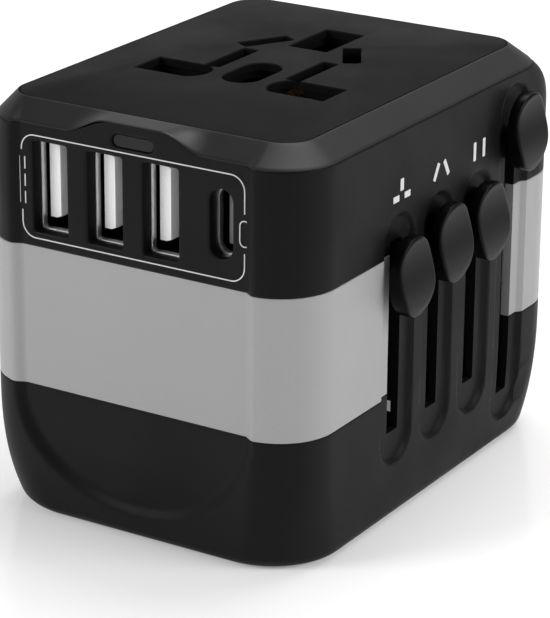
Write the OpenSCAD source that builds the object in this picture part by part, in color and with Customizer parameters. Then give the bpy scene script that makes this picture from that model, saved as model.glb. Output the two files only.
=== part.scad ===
// Universal travel adapter: a charger block with four sliding plug sets,
// a multi-standard socket on top and four USB outlets on the front.
// X runs across the front, -Y is the USB side, +X is the slider side, Z is up.
// The origin is on the base face, below the middle of the socket.

/* [Casing] */
// Width of the casing, across the USB side
casing_w = 50.8; // [50.4:0.2:51.2]
// Depth of the casing, from the USB side to the back
casing_d = 71.6; // [71:0.1:72]
// Height of the casing
casing_h = 57.3; // [57.3:0.1:58.5]
// Radius of the upright corners
corner_r = 8; // [7:0.5:9]
// Wall thickness of the shells
wall = 2; // [1.8:0.1:2]
// Height of the lower shell
lower_h = 18.9; // [18.5:0.1:19.5]
// Height of the grey band
band_h = 19.5; // [19:0.1:20]
// How far the walls lean in towards the base
lean = 1.5; // [1.2:0.1:1.8]
// How far the slider side leans in towards the base
side_lean = 1; // [0.8:0.1:1.2]
// How much rounder the upright corners get towards the base
corner_spread = 2.5; // [1.5:0.5:3]
// Radius of the edge round the base
base_edge_r = 1.6; // [1.2:0.1:1.8]
// How far the rounded shoulder brings the back in, up to the bezel
back_shoulder = 5; // [4.6:0.1:5.2]
// How far the shoulder brings the left side in
left_shoulder = 0.8; // [0.6:0.1:1]

/* [Top] */
// Height of the bezel's chamfer
bezel_h = 2.4; // [2.2:0.1:2.6]
// Width of the bezel's chamfer, seen from above
bezel_w = 3.7; // [3.4:0.1:3.9]
// Thickness of the socket cover
cover_t = 2.2; // [2:0.1:2.3]

/* [Front panel] */
// Half the width of the sunk front panel
panel_half = 17.7; // [17.4:0.1:18]
// Width of the bevel around the sunk panel
panel_bevel = 1.6; // [1.2:0.1:1.8]
// Depth of the sunk panel
panel_sink = 0.9; // [0.7:0.05:1]
// Height of the lowest point of the panel's round end
panel_low = 5; // [4.5:0.1:5.5]

/* [USB outlets] */
// Height of the outlets' centres
usb_z = 46.7; // [46.5:0.1:47]
// Distance between the USB-A outlets
usb_pitch = 8.575; // [8.5:0.025:8.6]
// Centre of the first USB-A outlet
usb_first_x = -12.63; // [-12.8:0.01:-12.5]
// Centre of the USB-C outlet
usb_c_x = 13.59; // [13.5:0.01:13.7]

// How far the outlets' metal shells sit behind the front panel
outlet_depth = 1.75; // [1.5:0.05:2]

/* [Sliders] */
// Centre of the first slider groove
slider_first_y = -9.6; // [-9.8:0.1:-9.4]
// Distance between the slider grooves
slider_pitch = 10.55; // [10.5:0.05:10.6]
// Width of a slider groove
groove_w = 8.4; // [8:0.1:8.6]
// Depth of a slider groove
groove_sink = 0.7; // [0.5:0.05:0.8]
// Width of a slot in its groove
slot_w = 2.9; // [2.8:0.05:3]
// Travel of the three short sliders
short_travel = 22; // [21:0.5:22]
// Travel of the long slider
long_travel = 33.5; // [33:0.5:33.5]
// Half the width of a knob
knob_half_w = 4.5; // [4:0.1:4.6]
// Half the height of a knob
knob_half_h = 5.5; // [5:0.1:5.6]

/* [Plug pins] */
// Distance between the round pins
eu_pin_gap = 19; // [18.6:0.1:19]
// Radius of a round pin
eu_pin_r = 2.4; // [2:0.1:2.4]
// Half the distance between the flat parallel blades
us_half_gap = 6.35; // [6.3:0.01:6.4]
// Half the distance between the flat angled blades
aus_half_gap = 6.86; // [6.8:0.01:6.9]
// Half the distance between the upper square pins
uk_half_gap = 11.1; // [11:0.05:11.15]

/* [Hidden] */
$fn = 48;

black = [0.09, 0.09, 0.09];
soft_black = [0.06, 0.06, 0.06];
gunmetal = [0.30, 0.29, 0.28];
band_grey = [0.62, 0.62, 0.62];
brass = [0.80, 0.66, 0.35];
steel = [0.78, 0.78, 0.80];
white = [0.93, 0.93, 0.92];
board_green = [0.10, 0.35, 0.18];
carriage_grey = [0.22, 0.22, 0.23];

// A small length that carries cuts past a face
over = 1;
// Gap between neighbours on one body
fit_gap = 0.1;
// Slider face and front face; the socket stays on the origin's axis
side_x = 26;
front_y = -34.2;
left_x = side_x - casing_w;
back_y = front_y + casing_d;
band_top = lower_h + band_h;
bezel_low = casing_h - bezel_h;
cover_inset = bezel_w + 0.2;
floor_t = 2;
// Front faces: the corners' plane, the sunk panel and the inside of the wall
panel_y = front_y + panel_sink;
inside_front_y = front_y + wall;

// Sliders: groove centres, groove ends and slot ends
uk_y = slider_first_y;
aus_y = uk_y + slider_pitch;
us_y = aus_y + slider_pitch;
eu_y = us_y + slider_pitch;
short_groove = [8.5, 43.9];
long_groove = [3.8, 53.6];
short_slot = [13.1, 40.1];
long_slot = [8, 46.5];
// Part of the slider side that breaks the grey band
panel_gap = [-11.1, 21.1];
backing_x = [22.4, 24];
backing_z = [17, 47];

// Carriages: height of the plates and of the knob stems at rest
plate_z = 24.3;
plate_t = 4;
pin_root = 3;
short_stem_z = 35.5;
long_stem_z = 41.9;
stem_w = 2.4;
stem_h = 4;
post_x = [13.5, 21.2];
post_w = 6;
socket_gap = 0.2;
stem_end_x = 18.5;
spring_x = [14.7, 18.4];
spring_r = 1.05;
wire_r = 0.2;
uk_knob_z = 35.5;
short_knob_z = 37.1;
long_knob_z = 47;
knob_back_x = side_x + 0.85;

// Plug pins: tips at rest, sizes in X and Y
uk_pin = [6.35, 4];
uk_tip = 4.3;
uk_earth = [4, 8];
uk_earth_y = 12.6;
uk_earth_tip = 0.3;
aus_blade = [1.6, 6.3];
aus_angle = 30;
aus_tip = 4.9;
us_blade = [1.5, 6.35];
us_tip = 5;
eu_boss_y = 23.4;
eu_boss_z = [19.3, 39.8];
eu_boss = [29, 6.8];
eu_tip = 0.3;
eu_link_z = 35.8;

// Base plate
base_size = [32.4, 43.8];
base_mid_y = 5.9;
base_r = 2.5;

screw_x = [-17.6, 18.6];
screw_y = [-27, 27];
boss_r = 1.6;
screw_top = 36.5;

usb_shell_y = [panel_y + outlet_depth, panel_y + outlet_depth + 14.2];
// Openings for the outlets, width and height
usb_a_cut = [5.3, 12.6];
usb_c_cut = [3.3, 9.1];
board_y = usb_shell_y[1] + 0.1;
board_t = 1.6;
deck_z = 42.2;
deck_t = 1.6;

shoulder_z = 47.5;
edge_levels = 4;
lean_levels = 9;
shoulder_levels = 5;
form_levels = concat(
    [for (i = [0:edge_levels]) base_edge_r * i / edge_levels],
    [for (i = [1:lean_levels]) base_edge_r + (lower_h - base_edge_r) * i / lean_levels],
    [for (i = [0:shoulder_levels]) shoulder_z + (bezel_low - shoulder_z) * i / shoulder_levels]);

// Share of the lean reached at height z: 1 at the base, 0 from the band up
function lean_share(z) = pow(max(0, lower_h - z) / lower_h, 2.8);
// Extra inset in the rounded edge round the base
function edge_at(z) = z >= base_edge_r ? 0
    : base_edge_r - sqrt(max(0, pow(base_edge_r, 2) - pow(base_edge_r - z, 2)));
// Share of the shoulder reached at height z: 0 at its foot, 1 at the bezel
function shoulder_share(z) = pow(max(0, z - shoulder_z) / (bezel_low - shoulder_z), 3);

module rounded_rect(w, d, r) {
    square([w - 2 * r, d], center = true);
    square([w, d - 2 * r], center = true);
    for (x = [-1, 1], y = [-1, 1])
        translate([x * (w / 2 - r), y * (d / 2 - r)])
            circle(r = r);
}

// Rounded rectangle between two opposite corners
module rounded_box(low, high, r) {
    translate((low + high) / 2)
        rounded_rect(high[0] - low[0], high[1] - low[1], r);
}

// Flat outline of the casing at height z, moved in by an inset
module outline(inset, z) {
    share = lean_share(z);
    shoulder = shoulder_share(z);
    all = inset + edge_at(z);
    rounded_box(
        [left_x + left_shoulder * shoulder + lean * share + all, front_y + lean * share + all],
        [side_x - side_lean * share - all, back_y - back_shoulder * shoulder - lean * share - all],
        max(corner_r + corner_spread * share - all, 1));
}

// Body of the casing between two heights, moved in by an inset; below carries its foot further down
module casing_form(inset, z0, z1, below = 0) {
    slice = 0.01;
    levels = concat([z0], [for (z = form_levels) if (z > z0 + 0.1 && z < z1 - 0.1) z], [z1 - slice]);
    hull() {
        translate([0, 0, z0 - below])
            linear_extrude(slice)
                outline(inset, z0, $fn = 48);
        for (z = levels)
            translate([0, 0, z])
                linear_extrude(slice)
                    outline(inset, z, $fn = 48);
    }
}

// Straight prism with the casing's outline at height z, moved in by an inset
module straight_form(inset, z, z0, z1) {
    translate([0, 0, z0])
        linear_extrude(z1 - z0)
            outline(inset, z);
}

// Shape lying on the front face: x across, z up, from y0 to y1
module on_front(y0, y1) {
    translate([0, y1, 0])
        rotate([90, 0, 0])
            linear_extrude(y1 - y0)
                children();
}

// Shape lying on the slider face: y across, z up, from x0 to x1
module on_side(x0, x1) {
    translate([x0, 0, 0])
        rotate([90, 0, 90])
            linear_extrude(x1 - x0)
                children();
}

// Upright slot outline with round ends between heights z0 and z1
module pill(w, z0, z1) {
    translate([-w / 2, z0 + w / 2])
        square([w, z1 - z0 - w]);
    translate([0, z0 + w / 2])
        circle(d = w);
    translate([0, z1 - w / 2])
        circle(d = w);
}

// Outline of the sunk front panel: straight sides and a round lower end
module front_panel_outline(grow) {
    polygon(concat(
        [for (i = [0:24]) [-(panel_half + grow) * cos(180 * i / 24),
            lower_h - (lower_h - panel_low + grow * 1.5) * sin(180 * i / 24)]],
        [[panel_half + grow, bezel_low], [-panel_half - grow, bezel_low]]));
}

// What stays of the casing under a recess that follows the walls; low takes in the leaning part
module sunk_form(sink, low) {
    if (low)
        casing_form(sink, 0, lower_h + over, over);
    else
        straight_form(sink, lower_h, lower_h - over, casing_h + over);
}

// Material taken away to sink the front panel
module front_panel_cut(low) {
    difference() {
        on_front(front_y - over, front_y + 6)
            front_panel_outline(panel_bevel / 2);
        sunk_form(panel_sink, low);
    }
}

module groove_outlines() {
    for (y = [uk_y, aus_y, us_y])
        translate([y, 0])
            pill(groove_w, short_groove[0], short_groove[1]);
    translate([eu_y, 0])
        pill(groove_w, long_groove[0], long_groove[1]);
}

// Material taken away for the slider grooves
module grooves(low) {
    difference() {
        on_side(side_x - 4, side_x + over)
            groove_outlines();
        sunk_form(groove_sink, low);
    }
}

module slot(y, ends) {
    translate([side_x - 5, y - slot_w / 2, ends[0]])
        cube([5 + over, slot_w, ends[1] - ends[0]]);
}

module slots() {
    slot(uk_y, short_slot);
    slot(aus_y, short_slot);
    slot(us_y, short_slot);
    slot(eu_y, long_slot);
}

module screw_places() {
    for (x = screw_x, y = screw_y)
        translate([x, y, 0])
            children();
}

// ---- Casing ----

module base_outline(gap) {
    translate([0, base_mid_y])
        rounded_rect(base_size[0] + 2 * gap, base_size[1] + 2 * gap, base_r);
}

module lower_shell() {
    color(black)
        difference() {
            union() {
                difference() {
                    casing_form(0, 0, lower_h);
                    casing_form(wall - 0.2, floor_t, lower_h + over);
                }
                intersection() {
                    casing_form(wall - 0.4, 0, lower_h);
                    screw_places()
                        cylinder(r = boss_r, h = lower_h - 1);
                }
            }
            front_panel_cut(true);
            grooves(true);
            slots();
            screw_places() {
                translate([0, 0, -over])
                    cylinder(r = 1.7, h = over + 1.2);
                cylinder(r = 1.05, h = lower_h);
            }
            translate([0, 0, -over])
                linear_extrude(floor_t + 2 * over)
                    base_outline(fit_gap);
        }
}

module band_shell() {
    color(band_grey)
        difference() {
            straight_form(0, lower_h, lower_h, band_top);
            straight_form(wall, lower_h, lower_h - over, band_top + over);
            front_panel_cut(false);
            grooves(false);
            slots();
            translate([side_x - wall - over, panel_gap[0] - fit_gap, lower_h - over])
                cube([wall + 2 * over, panel_gap[1] - panel_gap[0] + 2 * fit_gap, band_h + 2 * over]);
        }
}

module slider_panel() {
    color(black)
        difference() {
            union() {
                translate([backing_x[0], -15, backing_z[0]])
                    cube([backing_x[1] - backing_x[0], 35.4, backing_z[1] - backing_z[0]]);
                translate([backing_x[1], panel_gap[0], lower_h])
                    cube([wall, panel_gap[1] - panel_gap[0], band_h]);
            }
            grooves(false);
            slots();
            translate([backing_x[0] - over, -15.5, backing_z[0] - over])
                cube([10, 3, 3 + over]);
        }
}

// Tab of the front face that rises into the bezel, with curved sides
module tab_outline(grow) {
    low_half = 10.2;
    top_half = 4.2;
    steps = 8;
    tab_top = casing_h - 0.15;
    side = [for (i = [0:steps]) [low_half - (low_half - top_half) * (1 - cos(180 * i / steps)) / 2 + grow,
        bezel_low + (tab_top - bezel_low) * i / steps]];
    polygon(concat(
        [[-side[0][0], bezel_low - 2], [side[0][0], bezel_low - 2]],
        side,
        [for (i = [steps:-1:0]) [-side[i][0], side[i][1]]]));
}

module usb_a_places() {
    for (i = [0:2])
        usb_a_place(i)
            children();
}

module usb_a_place(i) {
    translate([usb_first_x + i * usb_pitch, 0, usb_z])
        children();
}

module usb_c_place() {
    translate([usb_c_x, 0, usb_z])
        children();
}

// Block centred on the outlet axis, from y0 to y1
module outlet_block(w, h, y0, y1) {
    translate([-w / 2, y0, -h / 2])
        cube([w, y1 - y0, h]);
}

// Upright stadium across X and Z, centred at height 0
module outlet_pill(w, h, y0, y1) {
    on_front(y0, y1)
        pill(w, -h / 2, h / 2);
}

module led_place() {
    translate([0.28, 0, bezel_low])
        rotate([0, 90, 0])
            children();
}

module upper_shell() {
    color(black)
        difference() {
            union() {
                difference() {
                    union() {
                        straight_form(0, lower_h, band_top, shoulder_z);
                        casing_form(0, shoulder_z - 0.01, bezel_low);
                    }
                    straight_form(wall, lower_h, band_top - over, shoulder_z);
                    straight_form(wall, bezel_low, band_top, bezel_low + over);
                }
                on_front(panel_y, inside_front_y)
                    tab_outline(0);
                outlet_collars();
                translate([left_x + 1, -12, deck_z - 1.6])
                    cube([3, 34, 1.5]);
                shell_bosses();
            }
            front_panel_cut(false);
            grooves(false);
            slots();
            usb_a_places()
                outlet_block(usb_a_cut[0], usb_a_cut[1], front_y - over, usb_shell_y[0] + over);
            usb_c_place()
                outlet_pill(usb_c_cut[0], usb_c_cut[1], front_y - over, usb_shell_y[0] + over);
            led_place()
                outlet_pill(1.6, 6.1, front_y - over, inside_front_y + over);
            screw_places()
                cylinder(r = 0.98, h = screw_top + 0.2);
        }
}

// Collars that carry the outlets' openings back to the metal shells
module outlet_collars() {
    collar_y = [inside_front_y - fit_gap, usb_shell_y[0] - fit_gap];
    collar_t = 1.2;
    usb_a_places()
        outlet_block(usb_a_cut[0] + collar_t, usb_a_cut[1] + collar_t, collar_y[0], collar_y[1]);
    usb_c_place()
        outlet_pill(usb_c_cut[0] + collar_t, usb_c_cut[1] + collar_t, collar_y[0], collar_y[1]);
}

// Screw bosses that hang down inside, each tied to the nearest wall
module shell_bosses() {
    screw_places()
        translate([0, 0, lower_h])
            cylinder(r = boss_r, h = 50 - lower_h);
    for (x = screw_x) {
        translate([x - 0.6, front_y + 1, band_top])
            cube([1.2, screw_y[0] - front_y - 1, 7]);
        translate([x - 0.6, screw_y[1], band_top])
            cube([1.2, back_y - 1 - screw_y[1], 7]);
    }
}

module top_bezel() {
    color(gunmetal) {
        difference() {
            hull() {
                translate([0, 0, bezel_low])
                    linear_extrude(0.001)
                        outline(0, bezel_low, $fn = 48);
                translate([0, 0, casing_h - 0.001])
                    linear_extrude(0.001)
                        cover_outline(0, $fn = 48);
            }
            translate([0, 0, bezel_low - over])
                linear_extrude(bezel_h + 2 * over)
                    cover_outline(cover_inset - bezel_w);
            on_front(front_y - over, inside_front_y + 0.02)
                tab_outline(0.05);
        }
    }
}

// Outline of the top inside the bezel's upper edge, moved in by an inset
module cover_outline(inset) {
    x = side_x - bezel_w - inset;
    y = panel_y + bezel_w + inset;
    rounded_box([-x, y], [x, -y], corner_r - bezel_w - inset);
}

// All the holes of the socket, one for each kind of pin
module socket_holes() {
    for (side = [-1, 1]) {
        translate([side * 10.9, -7.75])
            square([7.6, 6.1], center = true);
        translate([side * 7.1, -7.75])
            circle(d = 6.1);
        translate([side * us_half_gap, 0.05])
            square([2.3, 10.6], center = true);
        translate([side * (aus_half_gap + 0.04), 9.95])
            rotate([0, 0, side * aus_angle])
                square([2.5, 7.6], center = true);
    }
    translate([0, -4.55])
        square([5.4, 4.9], center = true);
    translate([0, -7])
        circle(d = 5.4);
    translate([0, -2.1])
        circle(d = 5.4);
    translate([0, 14.7])
        square([6, 10.2], center = true);
}

module socket_cover() {
    color(black)
        difference() {
            translate([0, 0, casing_h - cover_t])
                linear_extrude(cover_t)
                    cover_outline(cover_inset - bezel_w + fit_gap);
            translate([0, 0, casing_h - cover_t - over])
                linear_extrude(cover_t + 2 * over)
                    socket_holes();
        }
}

// Flat outlines of every pin and of the round-pin boss, where they cross the base
module pin_holes(gap) {
    for (side = [-1, 1]) {
        translate([side * uk_half_gap, uk_y])
            square([uk_pin[0] + gap, uk_pin[1] + gap], center = true);
        translate([side * us_half_gap, us_y])
            square([us_blade[0] + gap, us_blade[1] + gap], center = true);
        translate([side * aus_half_gap, aus_y])
            rotate([0, 0, side * aus_angle])
                square([aus_blade[0] + gap, aus_blade[1] + gap], center = true);
    }
    translate([0, uk_earth_y])
        square([uk_earth[0] + gap, uk_earth[1] + gap], center = true);
    translate([0, eu_boss_y])
        rounded_rect(eu_boss[0] + gap, eu_boss[1] + gap, (eu_boss[1] + gap) / 2 - 0.2);
}

module base_plate() {
    color(soft_black)
        difference() {
            linear_extrude(floor_t)
                base_outline(0);
            translate([0, 0, -over])
                linear_extrude(floor_t + 2 * over)
                    pin_holes(0.8);
        }
}

// ---- Inside the casing ----

module contact_deck() {
    color(carriage_grey)
        translate([0, 0, deck_z])
            linear_extrude(deck_t)
                difference() {
                    union() {
                        translate([-22.1, -14.2])
                            square([44.4, 39]);
                        translate([-16, 24.7])
                            square([32, 6.4]);
                    }
                    translate([12.9, 18.4])
                        square([12, 7.3]);
                }
}

// Right-hand mains contact: a strip on the deck with upright spring leaves
module mains_contact() {
    leaf_t = 0.6;
    strip_t = 0.8;
    base_z = deck_z + deck_t;
    color(brass) {
        translate([4.5, -11.8, base_z])
            cube([11, 8.2, strip_t]);
        translate([4.5, -3.7, base_z])
            cube([4.1, 17, strip_t]);
        translate([7, -11.8, base_z])
            cube([7.2, leaf_t, 10]);
        translate([9.2, -4.3, base_z])
            cube([5, leaf_t, 10]);
        translate([4.5, -3.6, base_z])
            cube([leaf_t, 7.4, 9]);
        translate([8, -3.6, base_z])
            cube([leaf_t, 7.4, 9]);
    }
}

module neutral_contact() {
    mains_contact();
}

module line_contact() {
    mirror([1, 0, 0])
        mains_contact();
}

module earth_contact() {
    leaf_t = 0.6;
    strip_t = 0.8;
    base_z = deck_z + deck_t;
    color(brass) {
        translate([-1.5, -9.5, base_z])
            cube([3, 30, strip_t]);
        translate([-3.8, 10.4, base_z])
            cube([7.6, 8.6, strip_t]);
        for (x = [-3.8, 3.8 - leaf_t])
            translate([x, 10.4, base_z])
                cube([leaf_t, 8.6, 10]);
        translate([-2.2, -9.5, base_z])
            cube([4.4, leaf_t, 8]);
    }
}

module busbar(x) {
    color(brass)
        translate([x - 3, -13.6, 5])
            cube([6, 0.6, deck_z - fit_gap - 5]);
}

module line_busbar() {
    busbar(-11);
}

module neutral_busbar() {
    busbar(11);
}

fuse_at = [0, 27.3, 47.8];
fuse_len = 20;
fuse_r = 2.4;

module fuse() {
    color(white)
        translate([-fuse_len / 2, fuse_at[1], fuse_at[2]])
            rotate([0, 90, 0])
                union() {
                    cylinder(r = fuse_r - 0.2, h = fuse_len);
                    cylinder(r = fuse_r, h = 5);
                    translate([0, 0, fuse_len - 5])
                        cylinder(r = fuse_r, h = 5);
                }
}

module fuse_clips() {
    clip_z = deck_z + deck_t;
    color(brass)
        for (x = [-1, 1])
            translate([x * 7.5 - 1.5, fuse_at[1] - fuse_r - 0.5, clip_z])
                difference() {
                    cube([3, 2 * fuse_r + 1, fuse_at[2] - clip_z + 1.5]);
                    translate([-over, 0.5 + fuse_r, fuse_at[2] - clip_z])
                        rotate([0, 90, 0])
                            cylinder(r = fuse_r + 0.02, h = 5);
                    translate([-over, 1.6, fuse_at[2] - clip_z])
                        cube([5, 2 * fuse_r - 2.2, 5]);
                }
}

module usb_board() {
    color(board_green)
        difference() {
            translate([-16, board_y, 6])
                cube([32, board_t, 48]);
            for (x = [-14, 14])
                translate([x, board_y - over, 9])
                    rotate([-90, 0, 0])
                        cylinder(r = 1.1, h = board_t + 2 * over);
        }
}

module usb_a_shell(i) {
    color(steel)
        usb_a_place(i)
            difference() {
                outlet_block(5.4, 12.8, usb_shell_y[0], usb_shell_y[1]);
                outlet_block(4.8, 12.2, usb_shell_y[0] - over, usb_shell_y[1] - 0.6);
            }
}

module usb_a_shell_1() {
    usb_a_shell(0);
}

module usb_a_shell_2() {
    usb_a_shell(1);
}

module usb_a_shell_3() {
    usb_a_shell(2);
}

tongue_front = 0.75;
tongue_t = 1.8;
tongue_x = -1.8;

module usb_a_tongue(i) {
    color(white)
        usb_a_place(i) {
            translate([tongue_x, usb_shell_y[0] + tongue_front, -5])
                cube([tongue_t, 10, 10.9]);
            outlet_block(4.7, 12.1, usb_shell_y[0] + 10, usb_shell_y[1] - 0.7);
        }
}

module usb_a_tongue_1() {
    usb_a_tongue(0);
}

module usb_a_tongue_2() {
    usb_a_tongue(1);
}

module usb_a_tongue_3() {
    usb_a_tongue(2);
}

module usb_a_contacts() {
    color(brass)
        usb_a_places()
            for (z = [-3.5, -1.2, 1.2, 3.5])
                translate([tongue_x + tongue_t, usb_shell_y[0] + tongue_front + 1.8, z - 0.1])
                    cube([0.15, 6.8, 1.1]);
}

module usb_c_shell() {
    color(steel)
        usb_c_place()
            difference() {
                outlet_pill(3.4, 9.2, usb_shell_y[0], usb_shell_y[1]);
                outlet_pill(2.7, 8.5, usb_shell_y[0] - over, usb_shell_y[1] - 4);
            }
}

module usb_c_tongue() {
    color(soft_black)
        usb_c_place()
            translate([-0.35, usb_shell_y[0] + 0.8, -3.3])
                cube([0.7, usb_shell_y[1] - usb_shell_y[0] - 4.8, 6.6]);
}

module transformer() {
    color(carriage_grey)
        translate([-14, board_y - 11.9, 9])
            union() {
                difference() {
                    cube([16, 11.8, 20]);
                    translate([3, -over, 4])
                        cube([10, 14, 12]);
                }
                translate([8, 5.9, 3.5])
                    cylinder(r = 4.2, h = 13);
            }
}

module capacitors() {
    color(carriage_grey)
        for (z = [13, 23])
            translate([9, board_y - 0.1, z])
                rotate([90, 0, 0])
                    cylinder(r = 4, h = 11);
}

module led_lens() {
    color(gunmetal)
        led_place()
            outlet_pill(1.56, 6.06, panel_y + 0.35, inside_front_y - 0.05);
}

module power_led() {
    color(white)
        translate([-0.9, inside_front_y, bezel_low - 1.2])
            cube([2.4, 0.8, 0.9]);
}

module case_screws() {
    color(steel)
        screw_places()
            difference() {
                union() {
                    translate([0, 0, 0.2])
                        cylinder(r = 1.55, h = 1);
                    cylinder(r = 0.98, h = screw_top);
                }
                translate([-1.2, -0.2, -over])
                    cube([2.4, 0.4, over + 0.7]);
                translate([-0.2, -1.2, -over])
                    cube([0.4, 2.4, over + 0.7]);
                translate([0, 0, -over])
                    cylinder(r = 2, h = over + 0.2);
            }
}

// ---- Printing ----

print_t = 0.08;
print_line = 0.35;
frame_x = [-17.2, 17.3];
frame_z = [39.5, 53.6];

module frame_ring() {
    w = frame_x[1] - frame_x[0];
    h = frame_z[1] - frame_z[0];
    translate([(frame_x[0] + frame_x[1]) / 2, (frame_z[0] + frame_z[1]) / 2])
        difference() {
            rounded_rect(w, h, 1.6);
            rounded_rect(w - 2 * print_line, h - 2 * print_line, 1.6 - print_line);
        }
}

module port_frame_print() {
    color(white)
        on_front(panel_y - print_t, panel_y) {
            difference() {
                frame_ring();
                translate([frame_x[0] - 1, 43])
                    square([2, 8]);
                translate([frame_x[1] - 1, 43.4])
                    square([2, 6]);
            }
            // A long dash beside three short ones: direct current
            translate([-17.5, 43.7])
                square([print_line, 6.6]);
            for (i = [0:2])
                translate([-16.6, 43.7 + i * 2.4])
                    square([print_line, 1.8]);
            // A small upright stadium beside the stadium-shaped outlet
            translate([17.1, 0])
                difference() {
                    pill(1.5, 44.2, 48.6);
                    pill(1.5 - 2 * print_line, 44.2 + print_line, 48.6 - print_line);
                }
        }
}

// Plug patterns printed above the short sliders
module slider_marks() {
    mark_z = 46.7;
    color(white)
        on_side(side_x, side_x + print_t) {
            for (p = [[-1.3, -0.7], [1.3, -0.7]])
                translate([uk_y + p[0], mark_z + p[1]])
                    square([1.2, 0.7], center = true);
            translate([uk_y, mark_z + 0.8])
                square([0.7, 1.3], center = true);
            for (side = [-1, 1]) {
                translate([aus_y + side * 1.2, mark_z])
                    rotate([0, 0, side * aus_angle])
                        square([0.6, 2.2], center = true);
                translate([us_y + side * 1.2, mark_z])
                    square([0.6, 2.4], center = true);
            }
        }
}

// ---- Sliding plug sets ----

// Post behind the slot, with the socket that takes the knob's stem
module post(y, z0, stem_z) {
    difference() {
        translate([post_x[0], y - post_w / 2, z0])
            cube([post_x[1] - post_x[0], post_w, stem_z + stem_h + 1.7 - z0]);
        translate([spring_x[0] - 0.1, y - stem_w / 2 - socket_gap, stem_z - socket_gap])
            cube([10, stem_w + 2 * socket_gap, stem_h + 2 * socket_gap]);
    }
}

module plate(x0, x1, y0, y1) {
    translate([x0, y0, plate_z])
        cube([x1 - x0, y1 - y0, plate_t]);
}

module block_pin(size, z0, z1) {
    translate([-size[0] / 2, -size[1] / 2, z0])
        cube([size[0], size[1], z1 - z0]);
}

pin_top = plate_z + pin_root;

module uk_pin_solid(side) {
    translate([side * uk_half_gap, uk_y, 0])
        block_pin(uk_pin, uk_tip, pin_top);
}

module uk_earth_solid() {
    translate([0, uk_earth_y, 0])
        block_pin(uk_earth, uk_earth_tip, pin_top);
}

module aus_blade_solid(side) {
    translate([side * aus_half_gap, aus_y, 0])
        rotate([0, 0, side * aus_angle])
            block_pin(aus_blade, aus_tip, pin_top);
}

module us_blade_solid(side) {
    translate([side * us_half_gap, us_y, 0])
        block_pin(us_blade, us_tip, pin_top);
}

module eu_pin_solid(side) {
    translate([side * eu_pin_gap / 2, eu_boss_y, eu_tip])
        cylinder(r = eu_pin_r, h = eu_boss_z[0] + pin_root - eu_tip);
}

module uk_carriage() {
    color(carriage_grey)
        difference() {
            union() {
                plate(-21, 15, uk_y - 2.6, uk_y + 2.6);
                plate(-21, -18, uk_y, 7.6);
                plate(-21, 3, 5, 7.6);
                plate(-3, 3, 5, 16.9);
                post(uk_y, plate_z, short_stem_z);
            }
            uk_pin_solid(-1);
            uk_pin_solid(1);
            uk_earth_solid();
        }
}

module uk_line_pin() {
    color(brass)
        uk_pin_solid(-1);
}

module uk_neutral_pin() {
    color(brass)
        uk_pin_solid(1);
}

module uk_earth_pin() {
    color(brass)
        uk_earth_solid();
}

module aus_carriage() {
    color(carriage_grey)
        difference() {
            union() {
                plate(-9.8, 15, -2.6, 4.3);
                post(aus_y, plate_z, short_stem_z);
            }
            aus_blade_solid(-1);
            aus_blade_solid(1);
        }
}

module aus_line_blade() {
    color(brass)
        aus_blade_solid(-1);
}

module aus_neutral_blade() {
    color(brass)
        aus_blade_solid(1);
}

module us_carriage() {
    color(carriage_grey)
        difference() {
            union() {
                plate(-8.1, 8.1, 17.3, 19.2);
                plate(-8.1, -4.6, 8.1, 19.2);
                plate(4.6, 8.1, 8.1, 19.2);
                plate(8, 15, 10, 13);
                post(us_y, plate_z, short_stem_z);
            }
            us_blade_solid(-1);
            us_blade_solid(1);
        }
}

module us_line_blade() {
    color(brass)
        us_blade_solid(-1);
}

module us_neutral_blade() {
    color(brass)
        us_blade_solid(1);
}

module eu_carriage() {
    color(soft_black)
        difference() {
            union() {
                translate([0, eu_boss_y, eu_boss_z[0]])
                    linear_extrude(eu_boss_z[1] - eu_boss_z[0])
                        rounded_rect(eu_boss[0], eu_boss[1], eu_boss[1] / 2 - 0.2);
                translate([10, 20, eu_link_z])
                    cube([8, 5, eu_boss_z[1] - eu_link_z]);
                post(eu_y, eu_link_z, long_stem_z);
            }
            eu_pin_solid(-1);
            eu_pin_solid(1);
        }
}

module eu_line_pin() {
    color(brass)
        eu_pin_solid(-1);
}

module eu_neutral_pin() {
    color(brass)
        eu_pin_solid(1);
}

// ---- Knobs and their springs ----

// Height of the knob's face at s, from -1 at the foot to 1 at the top
function knob_rise(s) = 2.1 - 0.3 * sin(165 * s);

module knob_profile(z) {
    steps = 20;
    polygon(concat(
        [[0, z - knob_half_h]],
        [for (i = [0:steps]) [knob_rise(2 * i / steps - 1), z + knob_half_h * (2 * i / steps - 1)]],
        [[0, z + knob_half_h]]));
}

module knob(y, z, stem_z) {
    color(soft_black)
        union() {
            intersection() {
                translate([0, y, 0])
                    on_side(knob_back_x, knob_back_x + 5)
                        pill(2 * knob_half_w, z - knob_half_h, z + knob_half_h);
                translate([knob_back_x, 0, 0])
                    on_front(y - knob_half_w - over, y + knob_half_w + over)
                        knob_profile(z);
            }
            translate([stem_end_x, y - stem_w / 2, stem_z])
                cube([knob_back_x - stem_end_x + 0.5, stem_w, stem_h]);
        }
}

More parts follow.
